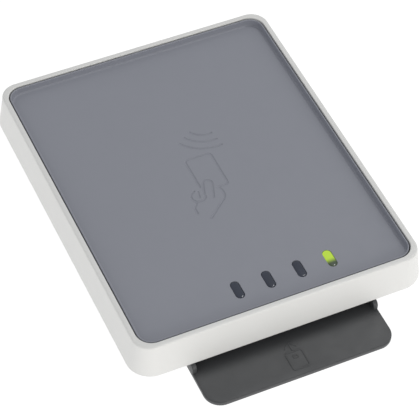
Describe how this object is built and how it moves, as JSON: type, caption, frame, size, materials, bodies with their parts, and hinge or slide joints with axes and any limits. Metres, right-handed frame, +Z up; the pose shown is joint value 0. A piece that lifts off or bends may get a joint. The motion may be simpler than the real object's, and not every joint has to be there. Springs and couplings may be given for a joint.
{
  "type": "smart card reader",
  "caption": "Flat desktop reader for travel cards: recessed contactless pad in a white frame, status windows, and a card tray and slot under its front edge.",
  "frame": {"origin": "on the table surface, under the middle of the reader's outline with the card tray included", "axes": "+X across the reader to the user's right, +Y away from the user towards the cable socket, +Z up"},
  "size_m": [0.09, 0.124, 0.0167],
  "materials": {
    "shell_white": "satin white moulded plastic",
    "panel_grey": "fine-textured cool grey moulded plastic",
    "base_grey": "fine-textured dark grey moulded plastic",
    "window_dark": "smoked translucent plastic, unlit",
    "window_lit": "translucent plastic, lit yellow-green",
    "black_plastic": "black moulded plastic",
    "lamp": "clear and white lamp body",
    "tape": "black adhesive foam tape",
    "board": "green solder mask over glass-fibre board",
    "copper": "bare copper track",
    "gold": "gold-plated spring alloy",
    "chip": "moulded chip package",
    "crystal_can": "plated metal can",
    "ceramic": "fired ceramic body",
    "ferrite": "dark ferrite body",
    "steel": "plated sheet steel",
    "screw_steel": "dark zinc-plated steel",
    "spring_steel": "drawn spring wire",
    "label": "silver-grey blank film label",
    "foot_rubber": "black rubber"
  },
  "bodies": {
    "housing": {"upper_shell": "shell_white", "top_panel": "panel_grey", "light_pipe_1": "window_dark", "light_pipe_2": "window_dark", "light_pipe_3": "window_dark", "light_pipe_4": "window_lit", "light_shroud": "black_plastic", "status_leds": "lamp", "panel_tape": "tape", "antenna_board": "board", "antenna_coil": "copper", "board_header": "black_plastic", "header_pins": "gold", "main_pcb": "board", "controller_chip": "chip", "rf_chip": "chip", "crystal": "crystal_can", "capacitors": "ceramic", "inductors": "ferrite", "buzzer": "black_plastic", "usb_shell": "steel", "usb_insulator": "black_plastic", "usb_contacts": "gold", "card_connector": "black_plastic", "contact_tails": "gold", "switch_pin": "steel", "switch_spring": "spring_steel", "sam_socket": "black_plastic", "sam_contacts": "gold", "base_cover": "base_grey", "rating_label": "label", "rubber_feet": "foot_rubber", "case_screws": "screw_steel", "pcb_screws": "steel"},
    "front_contacts": {"contact_row_front": "gold"},
    "rear_contacts": {"contact_row_rear": "gold"},
    "card_switch": {"switch_lever": "black_plastic"},
    "hatch": {"sam_hatch": "base_grey"}
  },
  "joints": [
    {"name": "front_contacts_flex", "type": "hinge", "parent": "housing", "child": "front_contacts", "pos_m": [0.0031, -0.02347, 0.0051], "axis": [1, 0, 0], "range_deg": [0, 7], "stiffness_Nm_per_rad": 0.1},
    {"name": "rear_contacts_flex", "type": "hinge", "parent": "housing", "child": "rear_contacts", "pos_m": [0.0031, -0.00385, 0.0051], "axis": [-1, 0, 0], "range_deg": [0, 7], "stiffness_Nm_per_rad": 0.1},
    {"name": "card_switch_turn", "type": "hinge", "parent": "housing", "child": "card_switch", "pos_m": [-0.0122, 0.00185, 0.0059], "axis": [1, 0, 0], "range_deg": [0, 25], "stiffness_Nm_per_rad": 0.0005, "springref_deg": -11.46},
    {"name": "hatch_slide", "type": "slide", "parent": "housing", "child": "hatch", "axis": [0, 1, 0], "range_m": [0, 0.012]}
  ]
}
